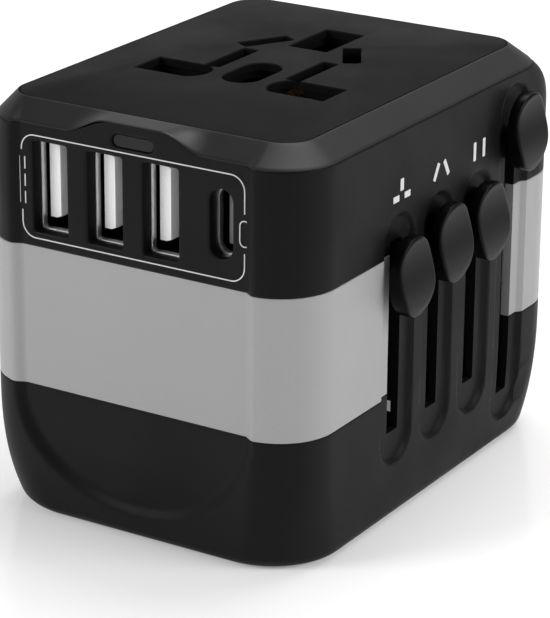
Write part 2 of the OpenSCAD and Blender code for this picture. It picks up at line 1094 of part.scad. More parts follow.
// Coil spring along X, as a tube swept round a helix
module coil_spring(y, z) {
    turns = 4;
    per_turn = 12;
    sides = 6;
    rings = turns * per_turn;
    run = spring_x[1] - spring_x[0] - 2 * wire_r;
    points = [for (i = [0:rings], j = [0:sides - 1])
        let (a = 360 * i / per_turn, b = 360 * j / sides, r = spring_r + wire_r * cos(b))
            [spring_x[0] + wire_r + run * i / rings + wire_r * sin(b), y + r * cos(a), z + r * sin(a)]];
    walls = [for (i = [0:rings - 1], j = [0:sides - 1])
        [i * sides + j, i * sides + (j + 1) % sides, (i + 1) * sides + (j + 1) % sides, (i + 1) * sides + j]];
    first_cap = [for (j = [sides - 1:-1:0]) j];
    last_cap = [for (j = [0:sides - 1]) rings * sides + j];
    color(steel)
        polyhedron(points, concat(walls, [first_cap, last_cap]), convexity = 8);
}

module uk_knob() {
    knob(uk_y, uk_knob_z, short_stem_z);
}

module aus_knob() {
    knob(aus_y, short_knob_z, short_stem_z);
}

module us_knob() {
    knob(us_y, short_knob_z, short_stem_z);
}

module eu_knob() {
    knob(eu_y, long_knob_z, long_stem_z);
}

module uk_spring() {
    coil_spring(uk_y, short_stem_z + stem_h / 2);
}

module aus_spring() {
    coil_spring(aus_y, short_stem_z + stem_h / 2);
}

module us_spring() {
    coil_spring(us_y, short_stem_z + stem_h / 2);
}

module eu_spring() {
    coil_spring(eu_y, long_stem_z + stem_h / 2);
}

lower_shell();
band_shell();
slider_panel();
upper_shell();
top_bezel();
socket_cover();
base_plate();
contact_deck();
line_contact();
neutral_contact();
earth_contact();
line_busbar();
neutral_busbar();
fuse();
fuse_clips();
usb_board();
usb_a_shell_1();
usb_a_shell_2();
usb_a_shell_3();
usb_a_tongue_1();
usb_a_tongue_2();
usb_a_tongue_3();
usb_a_contacts();
usb_c_shell();
usb_c_tongue();
transformer();
capacitors();
led_lens();
power_led();
case_screws();
port_frame_print();
slider_marks();
uk_carriage();
uk_line_pin();
uk_neutral_pin();
uk_earth_pin();
uk_knob();
uk_spring();
aus_carriage();
aus_line_blade();
aus_neutral_blade();
aus_knob();
aus_spring();
us_carriage();
us_line_blade();
us_neutral_blade();
us_knob();
us_spring();
eu_carriage();
eu_line_pin();
eu_neutral_pin();
eu_knob();
eu_spring();
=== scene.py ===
"""Looks of the universal travel adapter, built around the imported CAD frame.

Lengths are in metres, in the row frame: X across the USB side, -Y the USB side,
+X the slider side, Z up. Sizes written in millimetres are multiplied by MM.
"""
import math

import bmesh
import bpy
from mathutils import Matrix, Vector


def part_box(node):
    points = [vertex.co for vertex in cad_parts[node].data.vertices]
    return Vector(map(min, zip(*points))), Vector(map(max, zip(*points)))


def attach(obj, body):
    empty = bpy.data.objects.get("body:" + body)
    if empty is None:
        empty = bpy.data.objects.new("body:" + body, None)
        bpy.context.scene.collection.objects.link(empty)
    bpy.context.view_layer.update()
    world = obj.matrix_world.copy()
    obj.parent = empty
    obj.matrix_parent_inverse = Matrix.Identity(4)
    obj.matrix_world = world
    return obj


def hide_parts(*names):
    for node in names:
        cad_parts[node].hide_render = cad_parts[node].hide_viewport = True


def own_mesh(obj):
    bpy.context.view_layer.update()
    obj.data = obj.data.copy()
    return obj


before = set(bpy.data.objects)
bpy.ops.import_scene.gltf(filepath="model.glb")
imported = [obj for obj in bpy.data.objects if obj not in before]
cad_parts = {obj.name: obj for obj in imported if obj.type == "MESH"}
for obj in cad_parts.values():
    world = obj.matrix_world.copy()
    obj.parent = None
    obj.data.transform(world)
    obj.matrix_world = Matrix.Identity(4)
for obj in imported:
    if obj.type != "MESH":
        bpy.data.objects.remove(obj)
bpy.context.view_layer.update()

MM = 0.001

# ---------------------------------------------------------------- measures

CASE_LOW, CASE_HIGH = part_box("lower_shell")
_, BAND_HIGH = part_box("band_shell")
BEZEL_BOX_LOW, BEZEL_BOX_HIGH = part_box("top_bezel")
COVER_LOW, COVER_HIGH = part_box("socket_cover")
LEFT_X, SIDE_X = CASE_LOW.x, CASE_HIGH.x
FRONT_Y, BACK_Y = CASE_LOW.y, CASE_HIGH.y
BAND_LOW = CASE_HIGH.z
BAND_TOP = BAND_HIGH.z
BEZEL_LOW = BEZEL_BOX_LOW.z
TOP = COVER_HIGH.z

CORNER_R = 8.0 * MM
CORNER_SPREAD = 2.5 * MM
WALL = 2.0 * MM
# The front wall reaches back to the outlets' metal shells
OUTLET_WALL = 2.55 * MM
LEAN = 1.5 * MM
SIDE_LEAN = 1.0 * MM
LEAN_POWER = 2.8
BASE_EDGE_R = 1.6 * MM
SEAM_R = 0.14 * MM
SHOULDER_Z = 47.5 * MM
SHOULDER_POWER = 3
CHAMFER_W = 3.7 * MM
COVER_HALF = (COVER_HIGH.x + 0.3 * MM, COVER_HIGH.y + 0.3 * MM)
LEFT_SHOULDER = BEZEL_BOX_LOW.x - LEFT_X
BACK_SHOULDER = BACK_Y - BEZEL_BOX_HIGH.y

PANEL_HALF = 17.3 * MM
PANEL_BEVEL = 1.4 * MM
PANEL_SINK = 0.9 * MM
PANEL_LOW = 5.0 * MM
PANEL_Y = FRONT_Y + PANEL_SINK

GROOVE_HALF = 4.2 * MM
GROOVE_SINK = 0.7 * MM
GROOVE_SOFT = 0.75 * MM
SLOT_HALF = 1.45 * MM
# Part of the slider side where the black panel breaks the grey band
GAP_Y = (-11.1 * MM, 21.1 * MM)

COUNTRIES = ("uk", "aus", "us", "eu")


def knob_centre(country):
    low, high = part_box(country + "_knob")
    return (low + high) / 2


GROOVES = []
SLOTS = []
for country in COUNTRIES:
    middle_y = knob_centre(country).y
    long_one = country == "eu"
    groove_ends = (3.8 * MM, 53.6 * MM) if long_one else (8.5 * MM, 43.9 * MM)
    slot_ends = (8.0 * MM, 46.5 * MM) if long_one else (13.1 * MM, 40.1 * MM)
    GROOVES.append((middle_y, *groove_ends))
    SLOTS.append((middle_y, *slot_ends))

# ---------------------------------------------------------------- small maths


def clamp(value, low=0.0, high=1.0):
    return max(low, min(high, value))


def smooth(t):
    t = clamp(t)
    return t * t * (3 - 2 * t)


def lerp(a, b, t):
    return a + (b - a) * t


def spread(a, b, step):
    """Evenly spaced values from a to b, no further apart than step."""
    count = max(1, math.ceil(abs(b - a) / step))
    return [lerp(a, b, i / count) for i in range(count + 1)]


def merged(values, closest):
    """Sorted values with near repeats dropped."""
    kept = []
    for value in sorted(values):
        if not kept or value - kept[-1] > closest:
            kept.append(value)
    return kept


# ---------------------------------------------------------------- mesh helpers


def finish_mesh(name, bm, crease_deg=32):
    """Turns a bmesh into a smooth-shaded object whose sharper edges stay crisp."""
    bmesh.ops.remove_doubles(bm, verts=bm.verts, dist=1e-7)
    bmesh.ops.recalc_face_normals(bm, faces=bm.faces)
    mesh = bpy.data.meshes.new(name)
    bm.to_mesh(mesh)
    bm.free()
    for polygon in mesh.polygons:
        polygon.use_smooth = True
    mesh.set_sharp_from_angle(angle=math.radians(crease_deg))
    obj = bpy.data.objects.new(name, mesh)
    bpy.context.scene.collection.objects.link(obj)
    return obj


def loft(bm, columns, close_columns, close_rows):
    """Skin through columns of points; open ends are capped, so the result is closed."""
    verts = [[bm.verts.new(point) for point in column] for column in columns]
    n_cols = len(verts)
    n_rows = len(verts[0])
    for c in range(n_cols if close_columns else n_cols - 1):
        here = verts[c]
        there = verts[(c + 1) % n_cols]
        for r in range(n_rows if close_rows else n_rows - 1):
            s = (r + 1) % n_rows
            bm.faces.new((here[r], there[r], there[s], here[s]))
    if not close_rows:
        bm.faces.new([column[0] for column in verts])
        bm.faces.new([column[-1] for column in verts])
    if not close_columns:
        bm.faces.new(verts[0])
        bm.faces.new(verts[-1])


def prism(bm, outline, levels, place):
    """Skin of a flat outline carried through levels of (height, growth)."""
    columns = []
    for x, y, nx, ny in outline:
        columns.append([place(x + nx * grow, y + ny * grow, height) for height, grow in levels])
    loft(bm, columns, close_columns=True, close_rows=False)


def rounded_outline(half_x, half_y, radius, steps=8, cx=0.0, cy=0.0, turn=0.0):
    """Points and outward normals round a rectangle with round corners."""
    radius = min(radius, half_x, half_y)
    points = []
    corners = ((1, 1, 0), (-1, 1, 90), (-1, -1, 180), (1, -1, 270))
    cos_t, sin_t = math.cos(turn), math.sin(turn)
    for sx, sy, start in corners:
        for i in range(steps + 1):
            angle = math.radians(start + 90 * i / steps)
            nx, ny = math.cos(angle), math.sin(angle)
            x = sx * (half_x - radius) + radius * nx
            y = sy * (half_y - radius) + radius * ny
            points.append((
                cx + x * cos_t - y * sin_t,
                cy + x * sin_t + y * cos_t,
                nx * cos_t - ny * sin_t,
                nx * sin_t + ny * cos_t,
            ))
    return points


def flat_place(x, y, height):
    return Vector((x, y, height))


def front_place(x, z, depth):
    """Outline across X and Z; height runs along Y."""
    return Vector((x, depth, z))


def side_place(y, z, x):
    """Outline across Y and Z; height runs along X."""
    return Vector((x, y, z))


def cut(obj, cutter_bm, name, crease_deg=32, overlapping=False):
    """Takes the cutter's solids out of the object and drops the cutter."""
    cutter = finish_mesh(name + "_cutter", cutter_bm)
    modifier = obj.modifiers.new("cut", "BOOLEAN")
    modifier.operation = "DIFFERENCE"
    modifier.solver = "EXACT"
    modifier.use_self = overlapping
    modifier.object = cutter
    graph = bpy.context.evaluated_depsgraph_get()
    mesh = bpy.data.meshes.new_from_object(obj.evaluated_get(graph))
    obj.modifiers.clear()
    old = obj.data
    obj.data = mesh
    bpy.data.meshes.remove(old)
    bpy.data.objects.remove(cutter)
    for polygon in mesh.polygons:
        polygon.use_smooth = True
    mesh.set_sharp_from_angle(angle=math.radians(crease_deg))
    return obj


def add_piece(obj, body, material, replaced=()):
    obj.data.materials.clear()
    obj.data.materials.append(material)
    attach(obj, body)
    if replaced:
        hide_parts(*replaced)
    return obj


# ---------------------------------------------------------------- materials


def new_material(name, base, roughness, metallic=0.0, specular=0.5, coat=0.0):
    """Principled material with its constant values set on the sockets."""
    material = bpy.data.materials.new(name)
    material.use_nodes = True
    shader = material.node_tree.nodes["Principled BSDF"]
    shader.inputs["Base Color"].default_value = (*base, 1)
    shader.inputs["Roughness"].default_value = roughness
    shader.inputs["Metallic"].default_value = metallic
    shader.inputs["Specular IOR Level"].default_value = specular
    shader.inputs["Coat Weight"].default_value = coat
    return material, shader


def noise(tree, scale, detail=3.0, stretch=None):
    """Noise in the row frame, so that it lies the same way on every piece."""
    coords = tree.nodes.new("ShaderNodeTexCoord")
    texture = tree.nodes.new("ShaderNodeTexNoise")
    texture.inputs["Scale"].default_value = scale
    texture.inputs["Detail"].default_value = detail
    vector = coords.outputs["Object"]
    if stretch:
        mapping = tree.nodes.new("ShaderNodeMapping")
        mapping.inputs["Scale"].default_value = stretch
        tree.links.new(vector, mapping.inputs["Vector"])
        vector = mapping.outputs["Vector"]
    tree.links.new(vector, texture.inputs["Vector"])
    return texture.outputs["Fac"]


def ramp(tree, source, low, high, from_low=0.3, from_high=0.7):
    """Maps a noise value onto a range."""
    node = tree.nodes.new("ShaderNodeMapRange")
    node.inputs["From Min"].default_value = from_low
    node.inputs["From Max"].default_value = from_high
    node.inputs["To Min"].default_value = low
    node.inputs["To Max"].default_value = high
    tree.links.new(source, node.inputs["Value"])
    return node.outputs["Result"]


def tinted(tree, base, factor, spread_by):
    """Base colour that varies a little with factor, darker to lighter."""
    node = tree.nodes.new("ShaderNodeMix")
    node.data_type = "RGBA"
    node.inputs["A"].default_value = (*[c * (1 - spread_by) for c in base], 1)
    node.inputs["B"].default_value = (*[min(1, c * (1 + spread_by)) for c in base], 1)
    tree.links.new(factor, node.inputs["Factor"])
    return node.outputs["Result"]


def bump(tree, shader, source, distance, strength=1.0, below=None):
    node = tree.nodes.new("ShaderNodeBump")
    node.inputs["Strength"].default_value = strength
    node.inputs["Distance"].default_value = distance
    tree.links.new(source, node.inputs["Height"])
    if below is not None:
        tree.links.new(below, node.inputs["Normal"])
    tree.links.new(node.outputs["Normal"], shader.inputs["Normal"])
    return node.outputs["Normal"]


def moulded(name, base, rough_range, specular=0.5, grain=0.00018, grain_depth=0.000006, tint=0.12):
    """Moulded plastic: fine spark-eroded grain, slow smudges and a few rubbed spots."""
    material, shader = new_material(name, base, rough_range[0], specular=specular)
    tree = material.node_tree
    smudge = noise(tree, 90, 4)
    fine = noise(tree, 1 / grain, 2)
    tree.links.new(ramp(tree, smudge, *rough_range), shader.inputs["Roughness"])
    tree.links.new(tinted(tree, base, ramp(tree, fine, 0, 1), tint), shader.inputs["Base Color"])
    wavy = bump(tree, shader, noise(tree, 260, 2), 0.000004)
    bump(tree, shader, fine, grain_depth, below=wavy)
    return material


def metal(name, base, rough_range, stretch, specular=0.5):
    """Drawn or plated metal with fine lines along one direction."""
    material, shader = new_material(name, base, rough_range[0], metallic=1.0, specular=specular)
    tree = material.node_tree
    lines = noise(tree, 1500, 4, stretch)
    tarnish = noise(tree, 320, 3)
    tree.links.new(ramp(tree, lines, *rough_range), shader.inputs["Roughness"])
    tree.links.new(tinted(tree, base, ramp(tree, tarnish, 0, 1), 0.08), shader.inputs["Base Color"])
    bump(tree, shader, lines, 0.000003)
    return material


def usb_metal(name, rim_y):
    """Bright rolled rim; from a little way in, the inside of the shell is painted near-black as painted
    shade.
    """
    base = (0.86, 0.86, 0.87)
    material, shader = new_material(name, base, 0.22, metallic=1.0)
    tree = material.node_tree
    coords = tree.nodes.new("ShaderNodeTexCoord")
    axes = tree.nodes.new("ShaderNodeSeparateXYZ")
    tree.links.new(coords.outputs["Object"], axes.inputs["Vector"])
    # Painted shade: about 1 mm behind the rim the metal colour fades to near-black, standing in for the
    # shade deep inside the port.
    inside = ramp(tree, axes.outputs["Y"], 0, 1, rim_y + 0.8 * MM, rim_y + 1.0 * MM)
    painted_shade_mix = tree.nodes.new("ShaderNodeMix")
    painted_shade_mix.data_type = "RGBA"
    painted_shade_mix.inputs["B"].default_value = (0.012, 0.012, 0.013, 1)
    tree.links.new(inside, painted_shade_mix.inputs["Factor"])
    tree.links.new(tinted(tree, base, ramp(tree, noise(tree, 900, 3), 0, 1), 0.06), painted_shade_mix.inputs["A"])
    tree.links.new(painted_shade_mix.outputs["Result"], shader.inputs["Base Color"])
    lines = noise(tree, 1500, 4, (1, 0.08, 1))
    tree.links.new(ramp(tree, lines, 0.3, 0.38), shader.inputs["Roughness"])
    bump(tree, shader, lines, 0.000001)
    return material


SHELL = moulded("shell_plastic", (0.0048, 0.0048, 0.005), (0.42, 0.54), specular=0.1)
COVER = moulded("cover_plastic", (0.0045, 0.0045, 0.0047), (0.46, 0.58), specular=0.06)
BEZEL = moulded("bezel_plastic", (0.0105, 0.0092, 0.0092), (0.33, 0.45), specular=0.28, tint=0.2)
BAND = moulded(
    "band_paint", (0.315, 0.315, 0.315), (0.36, 0.46), specular=0.4, grain_depth=0.000002, tint=0.03
)
KNOB = moulded("knob_plastic", (0.0025, 0.0025, 0.0025), (0.26, 0.34), specular=0.08, grain_depth=0.000002)
CARRIAGE = moulded("carriage_plastic", (0.02, 0.02, 0.021), (0.5, 0.62))
TONGUE = moulded("tongue_plastic", (0.93, 0.93, 0.93), (0.3, 0.42), grain_depth=0.000002, tint=0.03)
C_TONGUE = moulded("usb_c_plastic", (0.17, 0.17, 0.17), (0.35, 0.5), grain_depth=0.000002, tint=0.05)
PRINT = moulded("print_ink", (0.62, 0.62, 0.62), (0.5, 0.65), grain_depth=0.000002, tint=0.05)
LENS = moulded("lens_smoked", (0.007, 0.007, 0.0072), (0.3, 0.4), specular=0.2, grain_depth=0.000001)
BOARD = moulded("board_mask", (0.012, 0.07, 0.03), (0.25, 0.4), grain=0.0006, tint=0.25)
CERAMIC = moulded("fuse_ceramic", (0.62, 0.6, 0.55), (0.2, 0.35), grain_depth=0.000002, tint=0.05)
PLATED = metal("pin_plating", (0.72, 0.71, 0.68), (0.16, 0.3), (1, 1, 0.06))
BRASS = metal("contact_brass", (0.72, 0.52, 0.22), (0.22, 0.4), (1, 0.1, 1))
STEEL = metal("screw_steel", (0.55, 0.55, 0.56), (0.25, 0.4), (1, 1, 1))
USB_RIM_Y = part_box("usb_a_shell_1")[0].y
BRIGHT = usb_metal("usb_metal", USB_RIM_Y)

# ---------------------------------------------------------------- casing surface


def lean_share(z):
    """Share of the lean reached at height z: 1 at the base, 0 from the band up."""
    return (max(0.0, BAND_LOW - z) / BAND_LOW) ** LEAN_POWER


def edge_at(z):
    """Extra inset in the rounded edge round the base."""
    if z >= BASE_EDGE_R:
        return 0.0
    return BASE_EDGE_R - math.sqrt(max(0.0, BASE_EDGE_R ** 2 - (BASE_EDGE_R - z) ** 2))


def shoulder_share(z):
    """Share of the back's rounded shoulder reached at height z: 1 at the bezel."""
    return (max(0.0, z - SHOULDER_Z) / (BEZEL_LOW - SHOULDER_Z)) ** SHOULDER_POWER


def sides_at(z):
    """Left, front, right and back walls and the corner radius at height z."""
    share = lean_share(z)
    edge = edge_at(z)
    shoulder = shoulder_share(z)
    return (
        LEFT_X + LEFT_SHOULDER * shoulder + LEAN * share + edge,
        FRONT_Y + LEAN * share + edge,
        SIDE_X - SIDE_LEAN * share - edge,
        BACK_Y - BACK_SHOULDER * shoulder - LEAN * share - edge,
        max(CORNER_R + CORNER_SPREAD * share - edge, MM),
    )


def stations():
    """Places round the casing as (side, share along it), closest where the detail is."""
    straight = [("front", t) for t in front_shares()]
    straight += [("front right", i / 30) for i in range(1, 30)]
    straight += [("right", t) for t in right_shares()]
    straight += [("back right", i / 24) for i in range(1, 24)]
    straight += [("back", i / 20) for i in range(21)]
    straight += [("back left", i / 16) for i in range(1, 16)]
    straight += [("left", i / 30) for i in range(31)]
    straight += [("front left", i / 30) for i in range(1, 30)]
    return straight


def front_shares():
    """Even steps along the front, closer at the sunk panel's edges."""
    left, _, right, _, radius = sides_at(BAND_LOW)
    low, high = left + radius, right - radius
    bevel_steps = (-0.3, -0.12, 0, 0.12, 0.25, 0.5)
    edges = [sign * (PANEL_HALF + PANEL_BEVEL * t) for sign in (-1, 1) for t in bevel_steps]
    places = merged([x for x in spread(low, high, 0.6 * MM) + edges if low <= x <= high], 0.12 * MM)
    return [(x - low) / (high - low) for x in places]


def right_shares():
    """Steps along the slider side, closest across the grooves."""
    _, front, _, back, radius = sides_at(BAND_LOW)
    low, high = front + radius, back - radius
    fine_low = GROOVES[0][0] - GROOVE_HALF - 0.5 * MM
    fine_high = GROOVES[-1][0] + GROOVE_HALF + 0.5 * MM
    fine = [y for y in spread(fine_low, fine_high, 0.24 * MM) if y < high]
    places = merged(spread(low, fine_low, 1.2 * MM) + fine + [high], 0.1 * MM)
    return [(y - low) / (high - low) for y in places]


CORNER_STARTS = {"front right": -90, "back right": 0, "back left": 90, "front left": 180}


def place_at(station, z):
    """Point and outward normal of the bare wall at one station and height."""
    side, t = station
    left, front, right, back, radius = sides_at(z)
    if side == "front":
        return Vector((lerp(left + radius, right - radius, t), front)), Vector((0, -1))
    if side == "right":
        return Vector((right, lerp(front + radius, back - radius, t))), Vector((1, 0))
    if side == "back":
        return Vector((lerp(right - radius, left + radius, t), back)), Vector((0, 1))
    if side == "left":
        return Vector((left, lerp(back - radius, front + radius, t))), Vector((-1, 0))
    angle = math.radians(CORNER_STARTS[side] + 90 * t)
    normal = Vector((math.cos(angle), math.sin(angle)))
    centre = Vector((
        right - radius if "right" in side else left + radius,
        front + radius if "front" in side else back - radius,
    ))
    return centre + radius * normal, normal


def soft_ramp(t):
    """Straight ramp from 0 to 1 with slightly rounded ends."""
    return lerp(clamp(t), smooth(t), 0.2)


def panel_sink_at(point, z):
    """Depth of the sunk front panel: straight sides above, a round end below."""
    if point.y > FRONT_Y + CORNER_R:
        return 0.0
    if z >= BAND_LOW:
        distance = abs(point.x) - PANEL_HALF
    else:
        half_x, half_z = PANEL_HALF, BAND_LOW - PANEL_LOW
        drop = BAND_LOW - z
        reach = math.hypot(point.x / half_x, drop / half_z)
        slope = math.hypot(point.x / half_x ** 2, drop / half_z ** 2)
        distance = (reach - 1) * reach / slope if slope > 0 else -half_x
    return PANEL_SINK * (1 - soft_ramp(distance / PANEL_BEVEL))


def groove_sink_at(y, z):
    """Depth of the slider grooves, which have soft walls and round ends."""
    depth = 0.0
    for middle, low, high in GROOVES:
        if abs(y - middle) > GROOVE_HALF + MM:
            continue
        nearest = clamp(z, low + GROOVE_HALF, high - GROOVE_HALF)
        distance = math.hypot(y - middle, z - nearest) - GROOVE_HALF
        depth = max(depth, GROOVE_SINK * (1 - soft_ramp((distance + GROOVE_SOFT) / GROOVE_SOFT)))
    return depth


def seam_rounding(distance):
    """Inset that rounds an edge, from the distance to it."""
    if distance >= SEAM_R:
        return 0.0
    return SEAM_R - math.sqrt(SEAM_R ** 2 - (SEAM_R - distance) ** 2)


def wall_point(station, z, extra=0.0):
    """Point on the finished outer wall, with the sunk panel and the grooves."""
    point, normal = place_at(station, z)
    inset = extra
    if normal.y < 0:
        inset += panel_sink_at(point, z)
    if normal.x > 0:
        inset += groove_sink_at(point.y, z)
    moved = point - normal * inset
    return Vector((moved.x, moved.y, z))


def inner_point(station, z, thickness):
    """Point on the inside of a wall of the given thickness."""
    point, normal = place_at(station, z)
    moved = point - normal * thickness
    return Vector((moved.x, moved.y, z))


def shows_seam(station):
    """Whether the grey band ends here; the slider panel meets the shells flush."""
    if station[0] != "right":
        return True
    point, _ = place_at(station, BAND_LOW)
    return not GAP_Y[0] < point.y < GAP_Y[1]


def edge_rows(low, high, step):
    """Heights from low to high with close rows where the two edges are rounded."""
    close = [SEAM_R * t for t in (0, 0.12, 0.4, 1)]
    middle = spread(low + SEAM_R, high - SEAM_R, step)
    return [low + c for c in close[:-1]] + middle + [high - c for c in reversed(close[:-1])]


def ring_section(station, low, high, rows, thickness):
    """Closed cross-section of a ring of wall at one station, outside first."""
    outside = []
    for z in rows:
        rounded = shows_seam(station) or high - z < z - low
        inset = seam_rounding(min(z - low, high - z)) if rounded else 0.0
        outside.append(wall_point(station, z, inset))
    inside = [inner_point(station, z, thickness) for z in (high, lerp(high, low, 0.5), low)]
    return outside + inside


STATIONS = stations()
ROW_STEP = 0.32 * MM

# ---------------------------------------------------------------- tab and bezel

TAB_LOW_HALF = 10.6 * MM
TAB_TOP_HALF = 4.3 * MM
TAB_CENTRE = 0.3 * MM
TAB_TOP = TOP - 0.2 * MM


def tab_height(station):
    """Height of the seam under the bezel, which climbs over the tab at the front."""
    if station[0] != "front":
        return BEZEL_LOW
    point, _ = place_at(station, BEZEL_LOW)
    reach = (TAB_LOW_HALF - abs(point.x - TAB_CENTRE)) / (TAB_LOW_HALF - TAB_TOP_HALF)
    return lerp(BEZEL_LOW, TAB_TOP, smooth(reach))


def cover_point(station, inset):
    """Point and normal on the top's outline inside the bezel."""
    side, t = station
    half_x, half_y = COVER_HALF
    radius = CORNER_R - CHAMFER_W
    if side in CORNER_STARTS:
        angle = math.radians(CORNER_STARTS[side] + 90 * t)
        normal = Vector((math.cos(angle), math.sin(angle)))
        sign_x = 1 if "right" in side else -1
        sign_y = -1 if "front" in side else 1
        centre = Vector((sign_x * (half_x - radius), sign_y * (half_y - radius)))
        return centre + (radius - inset) * normal
    reach_x, reach_y = half_x - radius, half_y - radius
    return {
        "front": Vector((lerp(-reach_x, reach_x, t), -half_y + inset)),
        "right": Vector((half_x - inset, lerp(-reach_y, reach_y, t))),
        "back": Vector((lerp(reach_x, -reach_x, t), half_y - inset)),
        "left": Vector((-half_x + inset, lerp(reach_y, -reach_y, t))),
    }[side]


def bezel_section(station):
    """Cross-section of the bezel: a rounded lip, the chamfer and the inner edge."""
    seam = tab_height(station)
    outer = wall_point(station, BEZEL_LOW)
    inner = cover_point(station, 0.0)
    if station[0] == "front":
        inner.x = outer.x
    across = Vector((inner.x - outer.x, inner.y - outer.y))
    width = across.length
    across /= width
    lip = 0.16 * MM
    radius = 0.13 * MM
    slope = math.atan2(TOP - seam - lip, width)
    profile = [(radius, seam), (0.3 * radius, seam + 0.25 * radius), (0, seam + lip * 0.6)]
    steps = 10
    start = (radius * math.cos(slope) * 0.8, seam + lip + radius * math.sin(slope) * 0.8)
    end = (width - radius, TOP - radius * math.tan(slope))
    for i in range(steps + 1):
        profile.append((lerp(start[0], end[0], i / steps), lerp(start[1], end[1], i / steps)))
    profile += [
        (width, TOP - 0.02 * MM),
        (width + 0.1 * MM, TOP - 0.02 * MM),
        (width + 0.18 * MM, TOP - 0.1 * MM),
        (width + 0.19 * MM, BEZEL_LOW),
        (width + 0.1 * MM, BEZEL_LOW),
    ]
    return [Vector((outer.x + across.x * s, outer.y + across.y * s, z)) for s, z in profile]


def make_bezel():
    bm = bmesh.new()
    loft(bm, [bezel_section(station) for station in STATIONS], close_columns=True, close_rows=True)
    bezel = finish_mesh("bezel_ring", bm)
    return add_piece(bezel, "casing", BEZEL, ["top_bezel"])


# ---------------------------------------------------------------- casing shells


def slot_cutters(bm, reach_in):
    """One straight cutter for each slider slot."""
    for middle, low, high in SLOTS:
        outline = rounded_outline(SLOT_HALF, (high - low) / 2, 0.25 * MM, 3, middle, (low + high) / 2)
        prism(bm, outline, [(SIDE_X - reach_in, 0), (SIDE_X + MM, 0)], side_place)


def make_lower_shell():
    rows = [BASE_EDGE_R * (1 - math.cos(math.radians(90 * i / 7))) for i in range(7)]
    rows += spread(BASE_EDGE_R, BAND_LOW - SEAM_R, ROW_STEP)
    rows += [BAND_LOW - SEAM_R * t for t in (0.4, 0.12, 0)]
    floor = WALL
    inner_rows = spread(BAND_LOW, floor, 3 * MM)
    columns = []
    for station in STATIONS:
        seam = shows_seam(station)
        column = [wall_point(station, z, seam_rounding(BAND_LOW - z) if seam else 0.0) for z in rows]
        column += [inner_point(station, z, WALL * 0.9) for z in inner_rows]
        columns.append(column)
    bm = bmesh.new()
    loft(bm, columns, close_columns=True, close_rows=False)
    shell = finish_mesh("lower_housing", bm)
    cutter = bmesh.new()
    slot_cutters(cutter, 5 * MM)
    cut(shell, cutter, "lower_slots")
    cutter = bmesh.new()
    plate_low, plate_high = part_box("base_plate")
    gap = 0.1 * MM
    outline = rounded_outline(
        (plate_high.x - plate_low.x) / 2 + gap,
        (plate_high.y - plate_low.y) / 2 + gap,
        2.6 * MM,
        8,
        0,
        (plate_high.y + plate_low.y) / 2,
    )
    prism(cutter, outline, [(-MM, 1.15 * MM), (0.15 * MM, 0), (floor + MM, 0)], flat_place)
    cut(shell, cutter, "lower_floor")
    cutter = bmesh.new()
    screw_low, screw_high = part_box("case_screws")
    head = 1.55 * MM
    for cx in (screw_low.x + head, screw_high.x - head):
        for cy in (screw_low.y + head, screw_high.y - head):
            hole = rounded_outline(1.7 * MM, 1.7 * MM, 1.7 * MM, 8, cx, cy)
            prism(cutter, hole, [(-MM, 1.2 * MM), (0.2 * MM, 0), (1.2 * MM, 0)], flat_place)
    cut(shell, cutter, "lower_screws")
    return add_piece(shell, "casing", SHELL, ["lower_shell"])


def make_band():
    rows = edge_rows(BAND_LOW, BAND_TOP, ROW_STEP)
    bm = bmesh.new()
    sections = [ring_section(station, BAND_LOW, BAND_TOP, rows, WALL) for station in STATIONS]
    loft(bm, sections, close_columns=True, close_rows=True)
    band = finish_mesh("grey_band", bm)
    cutter = bmesh.new()
    middle = (GAP_Y[0] + GAP_Y[1]) / 2
    half = (GAP_Y[1] - GAP_Y[0]) / 2 + 0.05 * MM
    outline = rounded_outline(half, BAND_TOP, 0.01 * MM, 1, middle, BAND_TOP / 2)
    prism(cutter, outline, [(SIDE_X - 5 * MM, 0), (SIDE_X + MM, 0)], side_place)
    cut(band, cutter, "band")
    cutter = bmesh.new()
    slot_cutters(cutter, 5 * MM)
    cut(band, cutter, "band_slots")
    return add_piece(band, "casing", BAND, ["band_shell"])


def make_slider_panel():
    """Black pads between the slots, on a backing plate behind the shells."""
    low_box, high_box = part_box("slider_panel")
    hidden = high_box.x - WALL - 0.02 * MM
    rows = [(z, True) for z in edge_rows(BAND_LOW, BAND_TOP, ROW_STEP)]
    rows = [(low_box.z, False), (BAND_LOW - 0.01 * MM, False)] + rows
    rows += [(BAND_TOP + 0.01 * MM, False), (high_box.z, False)]
    side_y = merged(
        spread(GAP_Y[0], GAP_Y[1], 0.24 * MM) + [GAP_Y[0] + 0.05 * MM, GAP_Y[1] - 0.05 * MM],
        0.02 * MM,
    )
    columns = []
    for y in side_y:
        column = []
        for z, shows in rows:
            x = hidden
            if shows:
                x = SIDE_X - groove_sink_at(y, z) - seam_rounding(min(y - GAP_Y[0], GAP_Y[1] - y))
            column.append(Vector((x, y, z)))
        column += [Vector((low_box.x, y, high_box.z)), Vector((low_box.x, y, low_box.z))]
        columns.append(column)
    bm = bmesh.new()
    loft(bm, columns, close_columns=False, close_rows=True)
    panel = finish_mesh("slider_side_panel", bm)
    cutter = bmesh.new()
    slot_cutters(cutter, 5 * MM)
    cut(panel, cutter, "panel")
    return add_piece(panel, "casing", SHELL, ["slider_panel"])


# Half widths, half heights and corner radii of the openings in the front
USB_A_OPENING = (2.65 * MM, 6.15 * MM, 0.35 * MM)
USB_C_OPENING = (1.65 * MM, 4.55 * MM, 1.65 * MM)
LED_OPENING = (3.12 * MM, 0.86 * MM, 0.86 * MM)
USB_A_OPENING_DROP = 0.1 * MM


